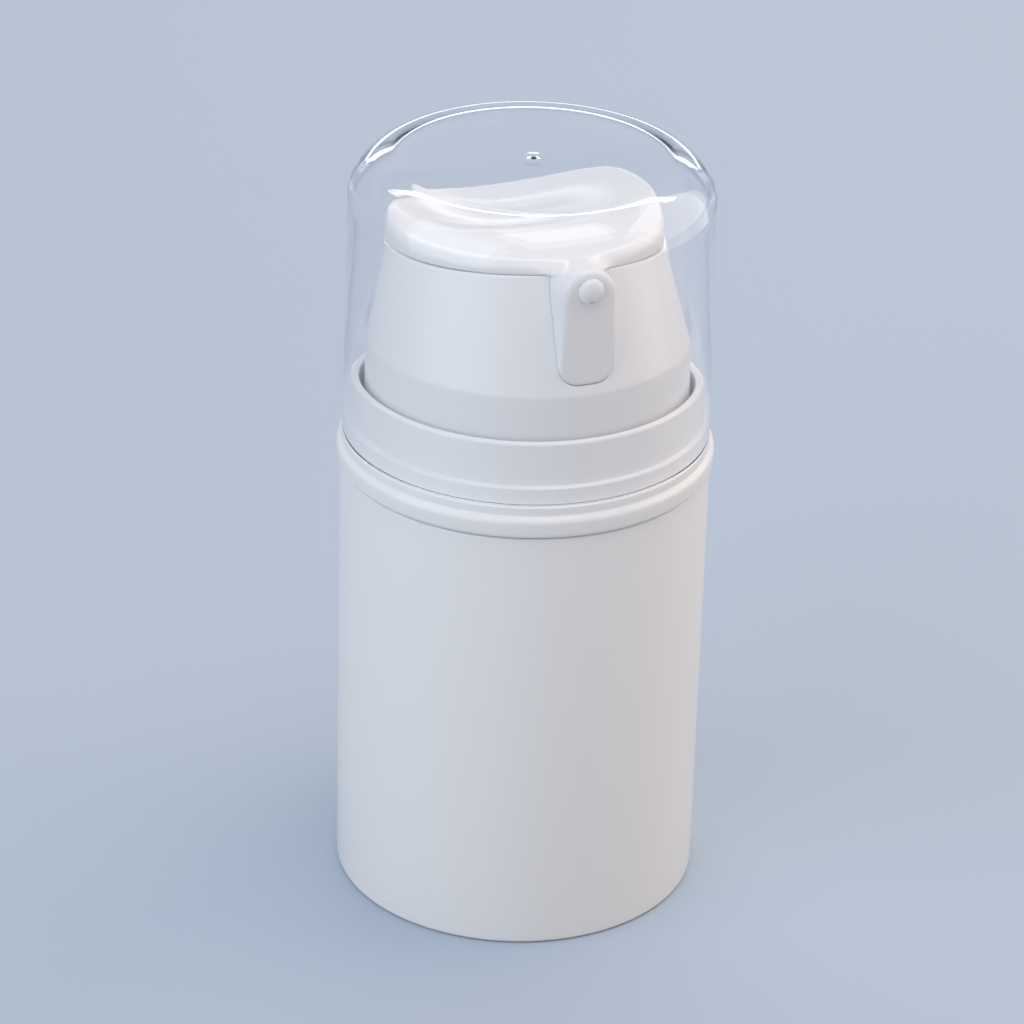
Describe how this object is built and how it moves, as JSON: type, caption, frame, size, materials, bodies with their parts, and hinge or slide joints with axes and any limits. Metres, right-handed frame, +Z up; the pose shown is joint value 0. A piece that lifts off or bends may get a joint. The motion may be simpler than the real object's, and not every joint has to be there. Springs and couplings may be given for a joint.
{
  "type": "airless lotion pump bottle",
  "caption": "Cylindrical white airless lotion bottle with a clear overcap, spouted press-down actuator, dosing pump and rising follower piston.",
  "frame": {"origin": "centre of the bottle's foot, on the surface it stands on", "axes": "+Z up along the bottle's axis; the spout points along -Y at rest; +X to the right of the spout seen from the front"},
  "size_m": [0.0438, 0.0438, 0.0909],
  "materials": {
    "clear_plastic": "clear, polished",
    "white_plastic": "satin white",
    "natural_plastic": "natural, unpolished",
    "soft_plastic": "soft, waxy",
    "gasket_rubber": "matte",
    "steel": "drawn wire and polished ball"
  },
  "bodies": {
    "bottle": {"bottle_body": "white_plastic", "base_plug": "white_plastic", "collar": "white_plastic", "fixing_ring": "natural_plastic", "neck_gasket": "gasket_rubber", "pump_housing": "natural_plastic", "housing_turret": "natural_plastic", "ball_retainer": "natural_plastic", "return_spring": "steel"},
    "overcap": {"overcap": "clear_plastic"},
    "stem": {"stem": "natural_plastic", "valve_rod": "natural_plastic"},
    "actuator": {"actuator_hood": "white_plastic", "actuator_skirt": "white_plastic", "nozzle_tip": "white_plastic"},
    "pump_piston": {"pump_piston": "soft_plastic"},
    "inlet_ball": {"inlet_ball": "steel"},
    "follower": {"follower_piston": "soft_plastic"}
  },
  "joints": [
    {"name": "overcap_lift", "type": "slide", "parent": "bottle", "child": "overcap", "axis": [0, 0, 1], "range_m": [0, 0.036]},
    {"name": "pump_stroke", "type": "slide", "parent": "bottle", "child": "stem", "axis": [0, 0, -1], "range_m": [0, 0.0042], "stiffness_N_per_m": 900, "springref_m": -0.005, "deforming": ["return_spring"]},
    {"name": "actuator_swivel", "type": "hinge", "parent": "stem", "child": "actuator", "pos_m": [0, 0, 0.0772], "axis": [0, 0, 1], "continuous": true},
    {"name": "piston_slide", "type": "slide", "parent": "bottle", "child": "pump_piston", "axis": [0, 0, -1], "range_m": [0, 0.00336]},
    {"name": "ball_lift", "type": "slide", "parent": "bottle", "child": "inlet_ball", "axis": [0, 0, 1], "range_m": [0, 0.0008]},
    {"name": "follower_rise", "type": "slide", "parent": "bottle", "child": "follower", "axis": [0, 0, 1], "range_m": [0, 0.0385]}
  ],
  "couplings": [
    {"joint": "piston_slide", "follows": "pump_stroke", "ratio": 0.8}
  ]
}
